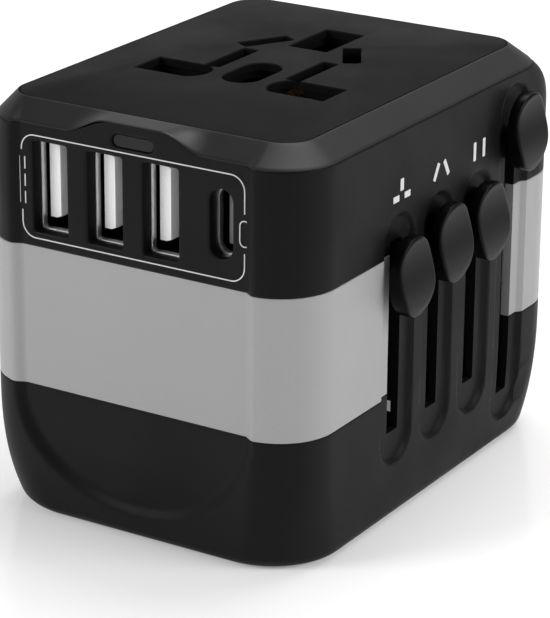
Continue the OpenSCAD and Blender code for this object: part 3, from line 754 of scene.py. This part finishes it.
def make_upper_shell():
    columns = []
    for station in STATIONS:
        seam = tab_height(station)
        rows = edge_rows(BAND_TOP, seam, (seam - BAND_TOP) / 56)
        thickness = OUTLET_WALL if station[0] == "front" else WALL
        columns.append(ring_section(station, BAND_TOP, seam, rows, thickness))
    bm = bmesh.new()
    loft(bm, columns, close_columns=True, close_rows=True)
    shell = finish_mesh("upper_housing", bm)
    cutter = bmesh.new()
    slot_cutters(cutter, 5 * MM)
    # Depth and growth of the openings: a soft edge, then straight back through the wall
    mouth = [
        (FRONT_Y - MM, 1.3 * MM),
        (PANEL_Y, 0.3 * MM),
        (PANEL_Y + 0.1 * MM, 0.1 * MM),
        (PANEL_Y + 0.3 * MM, 0),
        (PANEL_Y + 4 * MM, 0),
    ]
    for number in (1, 2, 3):
        low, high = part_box(f"usb_a_shell_{number}")
        centre = (low + high) / 2
        outline = rounded_outline(*USB_A_OPENING, 4, centre.x, centre.z - USB_A_OPENING_DROP)
        prism(cutter, outline, mouth, front_place)
    for node, opening in (("usb_c_shell", USB_C_OPENING), ("led_lens", LED_OPENING)):
        low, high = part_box(node)
        outline = rounded_outline(*opening, 10, (low.x + high.x) / 2, (low.z + high.z) / 2)
        prism(cutter, outline, mouth, front_place)
    cut(shell, cutter, "upper")
    return add_piece(shell, "casing", SHELL, ["upper_shell"])


# ---------------------------------------------------------------- socket cover

US_X = 6.35 * MM
AUS_X = 6.88 * MM
AUS_TURN = math.radians(30)


def socket_outlines():
    """Outlines of the socket's holes: points with outward normals."""
    outlines = []
    for side in (-1, 1):
        outlines.append(half_round_outline(side))
        outlines.append(rounded_outline(1.15 * MM, 5.0 * MM, 0.2 * MM, 3, side * US_X, 0.3 * MM))
        angled = (side * AUS_X, 9.95 * MM, side * AUS_TURN)
        outlines.append(rounded_outline(1.25 * MM, 3.8 * MM, 0.2 * MM, 3, *angled))
    outlines.append(rounded_outline(2.7 * MM, 5.15 * MM, 2.7 * MM, 12, 0, -4.55 * MM))
    outlines.append(rounded_outline(3.0 * MM, 5.1 * MM, 0.25 * MM, 3, 0, 14.7 * MM))
    return outlines


def half_round_outline(side):
    """Hole with a round inner end and a square outer end."""
    inner_x, outer_x, middle_y, half = 4.9 * MM, 14.7 * MM, -7.75 * MM, 3.05 * MM
    points = []
    for i in range(17):
        angle = math.radians(90 + 180 * i / 16)
        nx, ny = math.cos(angle), math.sin(angle)
        points.append((inner_x + half * 0.75 * (1 + nx), middle_y + half * ny, nx, ny))
    points.append((outer_x, middle_y - half, 1, -1))
    points.append((outer_x, middle_y + half, 1, 1))
    if side > 0:
        return points
    return [(-x, y, -nx, ny) for x, y, nx, ny in reversed(points)]


def make_cover():
    low = COVER_LOW
    inset = 0.3 * MM
    outline = []
    for station in STATIONS:
        moved = cover_point(station, inset)
        _, normal = place_at(station, BEZEL_LOW)
        outline.append((moved.x, moved.y, normal.x, normal.y))
    bm = bmesh.new()
    edge = 0.12 * MM
    levels = [(low.z, 0), (TOP - edge, 0), (TOP - 0.3 * edge, -0.3 * edge), (TOP, -edge)]
    prism(bm, outline, levels, flat_place)
    cover = finish_mesh("socket_plate", bm, 20)
    lip = 1.15 * MM
    cutter = bmesh.new()
    for hole in socket_outlines():
        levels = [(low.z - MM, 0.35 * MM), (TOP - lip, 0.35 * MM), (TOP - lip + 0.01 * MM, 0),
                  (TOP - 0.15 * MM, 0), (TOP + 0.05 * MM, 0.18 * MM), (TOP + MM, 0.18 * MM)]
        prism(cutter, hole, levels, flat_place)
    cut(cover, cutter, "cover", 25, overlapping=True)
    return add_piece(cover, "casing", COVER, ["socket_cover"])


# ---------------------------------------------------------------- knobs

KNOB_HALF_W = 4.45 * MM
KNOB_HALF_H = 5.48 * MM
KNOB_BACK_GAP = 0.87 * MM
KNOB_EDGE = 0.32 * MM
KNOB_AROUND = 72
# Superellipse, a little fuller than an oval
KNOB_FULLNESS = 2.15
STEM_HALF_W = 1.2 * MM
STEM_HALF_H = 2.0 * MM
# Height of each stem's middle from the knob's middle. These leave the aus and us stems 1.6 mm and the eu
# stem 1.0 mm
# above the stems in the CAD: a known fault.
STEM_RISE = {"uk": 2.0 * MM, "aus": 2.0 * MM, "us": 2.0 * MM, "eu": -2.1 * MM}


def knob_rise(s):
    """Height of the knob's face above its back, from the foot (-1) to the top (1)."""
    return (1.93 - 0.42 * math.sin(math.radians(165 * s))) * MM


def knob_taper(s):
    """Share of the full width at height s: the knob narrows towards its foot."""
    return 1 - 0.16 * clamp(-s) ** 1.6


def knob_outline():
    """Points round a knob, seen from the slider side, about its own middle."""
    power = 2 / KNOB_FULLNESS
    outline = []
    for i in range(KNOB_AROUND):
        angle = 2 * math.pi * i / KNOB_AROUND
        cy, sz = math.cos(angle), math.sin(angle)
        z = KNOB_HALF_H * math.copysign(abs(sz) ** power, sz)
        y = KNOB_HALF_W * math.copysign(abs(cy) ** power, cy) * knob_taper(z / KNOB_HALF_H)
        outline.append((y, z))
    return outline


def knob_section(z):
    """Share of the outline and height over the back, from the back round to near the middle."""
    rise = knob_rise(z / KNOB_HALF_H)
    section = [(0.94, 0), (0.985, 0.08 * MM), (1, 0.3 * MM), (1, rise * 0.5), (1, rise - KNOB_EDGE)]
    for k in range(1, 6):
        turn = math.radians(18 * k)
        share = 1 - KNOB_EDGE / KNOB_HALF_W * (1 - math.cos(turn))
        section.append((share, rise - KNOB_EDGE * (1 - math.sin(turn))))
    shoulder = section[-1][0]
    for k in range(1, 12):
        share = shoulder * (1 - k / 12)
        section.append((share, knob_rise(z * share / KNOB_HALF_H)))
    return section


def make_knob(country):
    """Thumb knob with a gently waved face, on a stem that goes in through the slot."""
    node = country + "_knob"
    centre = knob_centre(country)
    low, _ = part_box(node)
    back_x = SIDE_X + KNOB_BACK_GAP
    columns = []
    for y, z in knob_outline():
        section = knob_section(z)
        columns.append([Vector((back_x + x, centre.y + y * s, centre.z + z * s)) for s, x in section])
    bm = bmesh.new()
    loft(bm, columns, close_columns=True, close_rows=False)
    stem_z = centre.z + STEM_RISE[country]
    stem = rounded_outline(STEM_HALF_W, STEM_HALF_H, 0.2 * MM, 3, centre.y, stem_z)
    prism(bm, stem, [(low.x + 0.02 * MM, 0), (back_x + 0.5 * MM, 0)], side_place)
    knob = finish_mesh(country + "_thumb_knob", bm, 40)
    return add_piece(knob, country + "_button", KNOB, [node])


SPRING_TURNS = 4
SPRING_WIRE = 0.19 * MM


def make_spring(country):
    """Coil spring behind a knob, carried on its slider; its mesh keeps one length."""
    node = country + "_spring"
    low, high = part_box(node)
    middle = (low + high) / 2
    radius = (high.y - low.y) / 2 - 1.05 * SPRING_WIRE
    start_x, end_x = low.x + 1.05 * SPRING_WIRE, high.x - 1.05 * SPRING_WIRE
    rings = SPRING_TURNS * 28
    columns = []
    for j in range(10):
        around = 2 * math.pi * j / 10
        column = []
        for i in range(rings + 1):
            t = i / rings
            turn = 2 * math.pi * SPRING_TURNS * t
            # The pitch closes up at both ends, as on a ground spring
            x = lerp(start_x, end_x, lerp(t, smooth(t), 0.35)) + SPRING_WIRE * math.sin(around)
            reach = radius + SPRING_WIRE * math.cos(around)
            column.append(Vector((x, middle.y + reach * math.cos(turn), middle.z + reach * math.sin(turn))))
        columns.append(column)
    bm = bmesh.new()
    loft(bm, columns, close_columns=True, close_rows=False)
    spring = finish_mesh(country + "_coil", bm, 50)
    add_piece(spring, country + "_slider", STEEL, [node])
    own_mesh(spring)


# ---------------------------------------------------------------- printing

PRINT_T = 0.06 * MM
LINE = 0.15 * MM


def ribbon(bm, points, width, place, height, closed=False):
    """Flat printed line of even width through the points, with a little thickness."""
    count = len(points)
    columns = []
    for i, (x, y) in enumerate(points):
        before = points[i - 1] if i > 0 or closed else points[i]
        after = points[(i + 1) % count] if i < count - 1 or closed else points[i]
        tangent = Vector((after[0] - before[0], after[1] - before[1])).normalized()
        nx, ny = -tangent.y * width / 2, tangent.x * width / 2
        columns.append([
            place(x - nx, y - ny, height[0]),
            place(x - nx, y - ny, height[1]),
            place(x + nx, y + ny, height[1]),
            place(x + nx, y + ny, height[0]),
        ])
    loft(bm, columns, close_columns=closed, close_rows=True)


def arc(cx, cy, radius, start, end, steps=8):
    return [
        (cx + radius * math.cos(math.radians(lerp(start, end, i / steps))),
         cy + radius * math.sin(math.radians(lerp(start, end, i / steps))))
        for i in range(steps + 1)
    ]


def make_port_frame():
    low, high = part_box("port_frame_print")
    x0, x1 = -17.0 * MM, 17.1 * MM
    z0, z1 = low.z + LINE / 2, high.z - LINE / 2
    r = 2.0 * MM
    height = (PANEL_Y - PRINT_T, PANEL_Y + 0.05 * MM)
    left_gap = (z0 + 3.6 * MM, z1 - 2.2 * MM)
    right_gap = (z0 + 3.9 * MM, z0 + 9.1 * MM)
    bm = bmesh.new()
    upper = [(x0, left_gap[1])] + arc(x0 + r, z1 - r, r, 180, 90) + arc(x1 - r, z1 - r, r, 90, 0)
    upper += [(x1, right_gap[1])]
    lower = [(x0, left_gap[0])] + arc(x0 + r, z0 + r, r, 180, 270) + arc(x1 - r, z0 + r, r, 270, 360)
    lower += [(x1, right_gap[0])]
    ribbon(bm, upper, LINE, front_place, height)
    ribbon(bm, lower, LINE, front_place, height)
    # A long dash beside three short ones: direct current
    mark_gap = 0.9 * MM
    long_x, short_x = x0 - 0.35 * MM, x0 + 0.5 * MM
    long_dash = [(long_x, left_gap[0] + mark_gap), (long_x, left_gap[1] - mark_gap)]
    ribbon(bm, long_dash, LINE, front_place, height)
    span = left_gap[1] - left_gap[0] - 2 * mark_gap
    for i in range(3):
        start = left_gap[0] + mark_gap + span * (0.37 * i)
        ribbon(bm, [(short_x, start), (short_x, start + span * 0.26)], LINE, front_place, height)
    # A small upright stadium beside the stadium-shaped outlet
    half = (right_gap[1] - right_gap[0]) / 2 - mark_gap
    middle = (right_gap[0] + right_gap[1]) / 2
    turn_r = 0.7 * MM
    loop = arc(x1, middle + half - turn_r, turn_r, 0, 180)
    loop += arc(x1, middle - half + turn_r, turn_r, 180, 360)
    ribbon(bm, loop, LINE * 0.9, front_place, height, closed=True)
    mark = finish_mesh("port_frame_line", bm)
    return add_piece(mark, "casing", PRINT, ["port_frame_print"])


def make_slider_marks():
    """Pin patterns over the three short sliders."""
    height = (SIDE_X - 0.05 * MM, SIDE_X + PRINT_T)
    low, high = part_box("slider_marks")
    z = (low.z + high.z) / 2
    bm = bmesh.new()

    def bar(cy, cz, half_y, half_z, turn=0.0):
        outline = rounded_outline(half_y, half_z, 0.08 * MM, 2, cy, cz, turn)
        prism(bm, outline, [(height[0], 0), (height[1], 0)], side_place)

    uk, aus, us = (knob_centre(c).y for c in ("uk", "aus", "us"))
    for side in (-1, 1):
        bar(uk + side * 1.45 * MM, z - 0.8 * MM, 0.75 * MM, 0.42 * MM)
        bar(aus + side * 1.35 * MM, z, 0.34 * MM, 1.25 * MM, side * AUS_TURN)
        bar(us + side * 1.3 * MM, z, 0.34 * MM, 1.3 * MM)
    bar(uk, z + 0.85 * MM, 0.42 * MM, 0.8 * MM)
    mark = finish_mesh("slider_symbols", bm)
    return add_piece(mark, "casing", PRINT, ["slider_marks"])


# ---------------------------------------------------------------- outlets


def make_usb_a(index):
    """Metal shell with a rolled rim, and a white tongue with a bevelled side."""
    shell_node = f"usb_a_shell_{index}"
    tongue_node = f"usb_a_tongue_{index}"
    low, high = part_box(shell_node)
    cx, cz = (low.x + high.x) / 2, (low.z + high.z) / 2
    hx, hz = (high.x - low.x) / 2, (high.z - low.z) / 2
    wall = 0.3 * MM
    columns = []
    for x, z, nx, nz in rounded_outline(hx, hz, 0.5 * MM, 5, cx, cz):
        section = [
            (0, high.y),
            (0, low.y + 0.12 * MM),
            (0.04 * MM, low.y + 0.03 * MM),
            (0.15 * MM, low.y),
            (0.26 * MM, low.y + 0.03 * MM),
            (wall, low.y + 0.12 * MM),
            (wall, high.y),
        ]
        columns.append([Vector((x - nx * inset, y, z - nz * inset)) for inset, y in section])
    bm = bmesh.new()
    loft(bm, columns, close_columns=True, close_rows=True)
    shell = finish_mesh(f"usb_a_metal_{index}", bm)
    add_piece(shell, "casing", BRIGHT, [shell_node])
    t_low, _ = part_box(tongue_node)
    front = t_low.y
    face_x = cx
    bm = bmesh.new()
    profile = [(-1.8, -4.8), (-1.8, 5.4), (-0.75, 5.4), (0.0, 5.1), (0.0, -4.5), (-0.75, -4.8)]
    columns = []
    for x, z in profile:
        columns.append([Vector((face_x + (x * 0.92 - 0.05) * MM, front, cz + z * 0.985 * MM)),
                        Vector((face_x + x * MM, front + 0.15 * MM, cz + z * MM)),
                        Vector((face_x + x * MM, front + 10 * MM, cz + z * MM))])
    loft(bm, columns, close_columns=True, close_rows=False)
    block = rounded_outline(2.35 * MM, 6.05 * MM, 0.3 * MM, 3, cx, cz)
    prism(bm, block, [(front + 9.2 * MM, 0), (high.y - 0.7 * MM, 0)], front_place)
    tongue = finish_mesh(f"usb_a_insulator_{index}", bm)
    return add_piece(tongue, "casing", TONGUE, [tongue_node])


# ---------------------------------------------------------------- CAD nodes kept

KEPT = {
    "base_plate": SHELL,
    "contact_deck": CARRIAGE,
    "line_contact": BRASS,
    "neutral_contact": BRASS,
    "earth_contact": BRASS,
    "line_busbar": BRASS,
    "neutral_busbar": BRASS,
    "fuse": CERAMIC,
    "fuse_clips": BRASS,
    "usb_board": BOARD,
    "usb_a_contacts": BRASS,
    # The USB-C shell gets the same painted shade inside, from the USB-A rims' depth back.
    "usb_c_shell": BRIGHT,
    "usb_c_tongue": C_TONGUE,
    "transformer": CARRIAGE,
    "capacitors": CARRIAGE,
    "led_lens": LENS,
    "power_led": TONGUE,
    "case_screws": STEEL,
}
SUFFIXES = {"carriage": CARRIAGE, "pin": PLATED, "blade": PLATED}


def dress_cad_nodes():
    """Better materials and softened edges for the CAD nodes that stay."""
    for name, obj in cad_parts.items():
        material = KEPT.get(name) or SUFFIXES.get(name.split("_")[-1])
        if material is None:
            continue
        obj.data.materials.clear()
        obj.data.materials.append(material)
        weld = obj.modifiers.new("weld", "WELD")
        weld.merge_threshold = 1e-6
        bevel = obj.modifiers.new("soft_edges", "BEVEL")
        bevel.width = 0.45 * MM if name.endswith(("pin", "blade")) else 0.12 * MM
        bevel.segments = 3
        bevel.limit_method = "ANGLE"
        bevel.angle_limit = math.radians(40)
        bevel.harden_normals = True


# ---------------------------------------------------------------- camera and light


def look_matrix(back, right):
    up = back.cross(right)
    matrix = Matrix((right, up, back)).transposed()
    return matrix.to_4x4()


def make_camera():
    azimuth, elevation, roll = math.radians(31.7), math.radians(20.56), math.radians(0.4)
    level_share = math.cos(elevation)
    back = Vector((
        math.sin(azimuth) * level_share,
        -math.cos(azimuth) * level_share,
        math.sin(elevation),
    ))
    level = Vector((math.cos(azimuth), math.sin(azimuth), 0))
    up = back.cross(level)
    right = level * math.cos(roll) + up * math.sin(roll)
    data = bpy.data.cameras.new("camera")
    data.lens = 169.2
    data.sensor_width = 36
    data.clip_start = 0.01
    camera = bpy.data.objects.new("camera", data)
    bpy.context.scene.collection.objects.link(camera)
    camera.matrix_world = Matrix.Translation(Vector((0.1989, -0.3204, 0.1637))) @ look_matrix(back, right)
    bpy.context.scene.camera = camera
    return camera


def area_light(name, place, target, size, power, colour=(1, 1, 1)):
    data = bpy.data.lights.new(name, "AREA")
    data.shape = "RECTANGLE"
    data.size, data.size_y = size
    data.energy = power
    data.color = colour
    light = bpy.data.objects.new(name, data)
    bpy.context.scene.collection.objects.link(light)
    place, target = Vector(place), Vector(target)
    aim = (place - target).to_track_quat("Z", "Y").to_matrix().to_4x4()
    light.matrix_world = Matrix.Translation(place) @ aim
    return light


def make_light():
    middle = (0, 0, 0.03)
    area_light("right", (0.62, 0.08, 0.36), middle, (0.35, 0.35), 2.6)
    area_light("left_front", (-0.45, -0.62, 0.4), middle, (0.3, 0.4), 3.7)
    area_light("top", (0.0, 0.3, 0.7), middle, (0.6, 0.4), 3.2)
    area_light("backdrop", (-0.63, 1.02, 0.45), (0, 0, 0.1), (2.4, 0.8), 1.8)
    world = bpy.data.worlds.new("studio")
    world.use_nodes = True
    tree = world.node_tree
    background = tree.nodes["Background"]
    background.inputs["Color"].default_value = (1, 1, 1, 1)
    path = tree.nodes.new("ShaderNodeLightPath")
    strength = tree.nodes.new("ShaderNodeMapRange")
    strength.inputs["To Min"].default_value = 0.28
    strength.inputs["To Max"].default_value = 1.0
    tree.links.new(path.outputs["Is Camera Ray"], strength.inputs["Value"])
    tree.links.new(strength.outputs["Result"], background.inputs["Strength"])
    bpy.context.scene.world = world
    bpy.context.scene.view_settings.view_transform = "Standard"


def make_floor():
    material, shader = new_material("floor", (0.93, 0.93, 0.93), 0.16, specular=0.5)
    shader.inputs["Emission Color"].default_value = (1, 1, 1, 1)
    shader.inputs["Emission Strength"].default_value = 0.2
    tree = material.node_tree
    tree.links.new(ramp(tree, noise(tree, 6, 2), 0.13, 0.2), shader.inputs["Roughness"])
    bm = bmesh.new()
    size = 4.0
    corners = [(-size, -size), (size, -size), (size, size), (-size, size)]
    bm.faces.new([bm.verts.new((x, y, -0.00002)) for x, y in corners])
    floor = finish_mesh("floor", bm)
    floor.data.materials.append(material)


# ---------------------------------------------------------------- build

make_camera()
make_light()
make_floor()
make_lower_shell()
make_band()
make_slider_panel()
make_upper_shell()
make_bezel()
make_cover()
make_port_frame()
make_slider_marks()
for number in (1, 2, 3):
    make_usb_a(number)
for country in COUNTRIES:
    make_knob(country)
    make_spring(country)
dress_cad_nodes()
